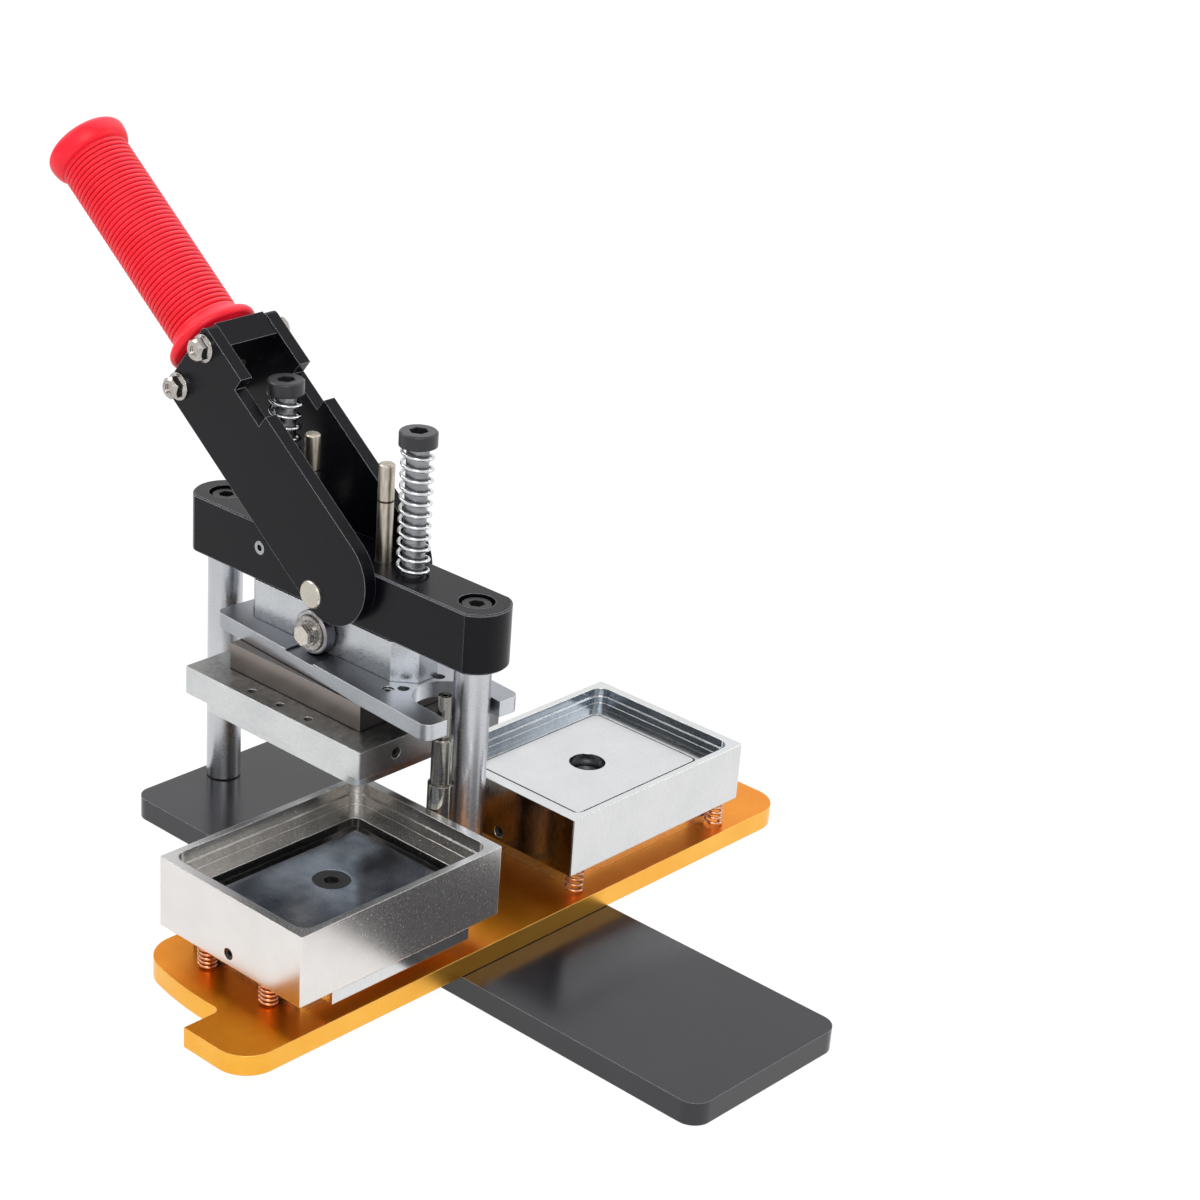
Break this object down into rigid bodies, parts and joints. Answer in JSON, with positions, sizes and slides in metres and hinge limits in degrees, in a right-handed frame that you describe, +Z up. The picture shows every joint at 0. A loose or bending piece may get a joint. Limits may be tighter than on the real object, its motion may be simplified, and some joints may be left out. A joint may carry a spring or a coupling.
{
  "type": "fridge magnet maker",
  "caption": "Hand lever press with two columns, an eccentric cam lever, a sprung ram with an upper die, and a swinging table with a pick-up die and a crimping die.",
  "frame": {"origin": "on the base plate's underside, midway between the axes of the two columns, under the ram's centre", "axes": "+Z up, +Y away from the operator along the base plate, +X to the operator's right"},
  "size_m": [0.319, 0.4197, 0.2903],
  "materials": {
    "black_base": "satin powder coat",
    "black_anodised": "black anodised, satin",
    "black_steel": "black oxide",
    "polished_steel": "polished rod",
    "ground_steel": "ground and nickel plated",
    "core_steel": "ground, brownish",
    "zinc": "bright zinc",
    "die_steel": "polished plate",
    "red_rubber": "moulded, satin",
    "gold_anodised": "gold anodised, satin",
    "bronze": "sintered bronze",
    "copper_spring": "copper coloured spring steel",
    "spring_steel": "bright spring steel"
  },
  "bodies": {
    "press_frame": {"base_plate": "black_base", "rear_column": "polished_steel", "front_column": "polished_steel", "column_screws": "black_steel", "base_screws": "black_steel", "crossbar": "black_anodised", "cross_pin": "zinc", "pivot_pin": "zinc", "return_springs": "spring_steel"},
    "lever": {"left_lever_plate": "black_anodised", "right_lever_plate": "black_anodised", "handle_block": "black_anodised", "handle_bolts": "zinc", "handle_rod": "polished_steel", "grip": "red_rubber"},
    "ram": {"ram_block": "ground_steel", "fork_plate": "ground_steel", "fork_screw": "zinc", "core_block": "core_steel", "upper_die": "ground_steel", "upper_die_screw": "black_steel", "spring_bolts": "black_steel", "guide_rods": "polished_steel", "roller_bolts": "zinc"},
    "left_roller": {"left_roller": "zinc"},
    "right_roller": {"right_roller": "zinc"},
    "swing_table": {"table": "gold_anodised", "table_bush": "bronze", "locating_post": "polished_steel", "post_sleeve": "polished_steel", "hollow_pin": "black_steel", "die_a_block": "ground_steel", "die_a_pad": "die_steel", "die_a_screw": "black_steel", "die_b_block": "ground_steel", "die_b_pad": "die_steel", "die_b_screw": "black_steel", "die_a_springs": "copper_spring", "die_b_springs": "copper_spring"},
    "pickup_die": {"die_a_frame": "die_steel", "die_a_aprons": "die_steel", "die_a_set_screw": "black_steel"},
    "crimping_die": {"die_b_frame": "die_steel", "die_b_set_screws": "black_steel"}
  },
  "joints": [
    {"name": "lever_pivot", "type": "hinge", "parent": "press_frame", "child": "lever", "pos_m": [0, 0, 0.1287], "axis": [1, 0, 0], "range_deg": [0, 26]},
    {"name": "ram_slide", "type": "slide", "parent": "press_frame", "child": "ram", "axis": [0, 0, -1], "range_m": [0, 0.00416], "stiffness_N_per_m": 3000, "springref_m": -0.012, "deforming": ["return_springs"]},
    {"name": "left_roller_spin", "type": "hinge", "parent": "ram", "child": "left_roller", "pos_m": [-0.0162, 0, 0.11151], "axis": [1, 0, 0], "continuous": true},
    {"name": "right_roller_spin", "type": "hinge", "parent": "ram", "child": "right_roller", "pos_m": [0.0162, 0, 0.11151], "axis": [1, 0, 0], "continuous": true},
    {"name": "table_swing", "type": "hinge", "parent": "press_frame", "child": "swing_table", "pos_m": [0, -0.075, 0.019], "axis": [0, 0, 1], "range_deg": [-90, 90]},
    {"name": "pickup_die_sink", "type": "slide", "parent": "swing_table", "child": "pickup_die", "axis": [0, 0, -1], "range_m": [0, 0.0048], "stiffness_N_per_m": 4000, "springref_m": -0.005, "deforming": ["die_a_springs"]},
    {"name": "crimping_die_sink", "type": "slide", "parent": "swing_table", "child": "crimping_die", "axis": [0, 0, -1], "range_m": [0, 0.0112], "stiffness_N_per_m": 4000, "springref_m": -0.005, "deforming": ["die_b_springs"]}
  ],
  "couplings": [
    {"joint": "ram_slide", "follows": "lever_pivot", "m_per_rad": 0.008734}
  ]
}
